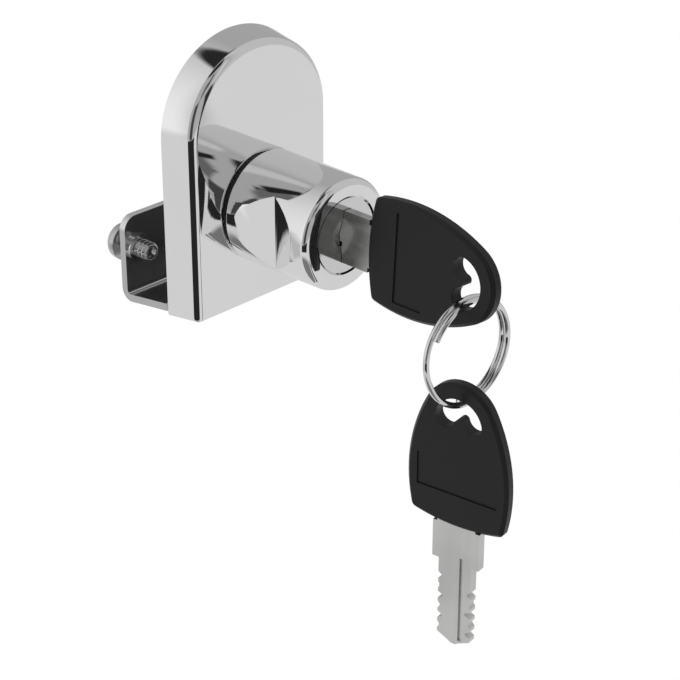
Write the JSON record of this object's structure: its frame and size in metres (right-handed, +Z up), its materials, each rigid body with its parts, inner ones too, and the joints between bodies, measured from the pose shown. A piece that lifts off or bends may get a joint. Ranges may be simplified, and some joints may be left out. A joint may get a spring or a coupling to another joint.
{
  "type": "glass cabinet door lock",
  "caption": "Clamp-on lock for a glass cabinet door: D-shaped cover with a pull knob and key, a U bracket that grips the glass edge, and a spare key on a split ring.",
  "frame": {"origin": "where the knob's axis meets the back of the glass pad, the plane of the glass", "axes": "+X right seen from the front, +Y back into the glass and square to it, +Z up; the knob and the key point along -Y"},
  "size_m": [0.0414, 0.0917, 0.118],
  "materials": {
    "cover_chrome": "polished",
    "knob_chrome": "polished",
    "plug_chrome": "polished",
    "washer_black": "matt",
    "steel": "plain zinc",
    "bracket_steel": "plated sheet",
    "pad_rubber": "matt",
    "brass": "stamped",
    "bolt_steel": "satin",
    "screw_steel": "plated",
    "key_nickel": "nickel plated, satin",
    "head_black": "satin moulded",
    "ring_steel": "polished"
  },
  "bodies": {
    "case": {"cover": "cover_chrome", "lock_knob": "knob_chrome", "base_washer": "washer_black", "knob_nut": "steel", "lock_washer": "steel", "clamp_bracket": "bracket_steel", "bracket_screws": "steel", "glass_pad": "pad_rubber"},
    "plug": {"lock_plug": "plug_chrome", "wafers": "brass", "wafer_springs": "steel", "snap_ring": "steel"},
    "bolt": {"latch_bolt": "bolt_steel"},
    "clamp_left": {"clamp_screw_left": "screw_steel"},
    "clamp_right": {"clamp_screw_right": "screw_steel"},
    "key_1": {"key_1_blade": "key_nickel", "key_1_head": "head_black"},
    "ring": {"key_ring": "ring_steel"},
    "key_2": {"key_2_blade": "key_nickel", "key_2_head": "head_black"}
  },
  "joints": [
    {"name": "plug_turn", "type": "hinge", "parent": "case", "child": "plug", "pos_m": [0, 0, 0], "axis": [0, 1, 0], "range_deg": [-3.5, 176.5]},
    {"name": "bolt_slide", "type": "slide", "parent": "case", "child": "bolt", "axis": [0, 0, -1], "range_m": [-0.00014, 0.0069]},
    {"name": "clamp_left_travel", "type": "slide", "parent": "case", "child": "clamp_left", "axis": [0, -1, 0], "range_m": [-0.006, 0.0016]},
    {"name": "clamp_right_travel", "type": "slide", "parent": "case", "child": "clamp_right", "axis": [0, -1, 0], "range_m": [-0.006, 0.0016]},
    {"name": "key_1_slide", "type": "slide", "parent": "plug", "child": "key_1", "axis": [0, -1, 0], "range_m": [0, 0.0225]},
    {"name": "ring_swing", "type": "hinge", "parent": "key_1", "child": "ring", "pos_m": [-0.00024, -0.06225, -0.00391], "axis": [0.9994, -0.0349, 0], "range_deg": [-120, 30]},
    {"name": "key_2_swing", "type": "hinge", "parent": "ring", "child": "key_2", "pos_m": [-0.00025, -0.06245, -0.02546], "axis": [0.9994, -0.0349, 0], "range_deg": [-25, 45]}
  ],
  "couplings": [
    {"joint": "bolt_slide", "follows": "plug_turn", "m_per_rad": 0.0022282}
  ]
}
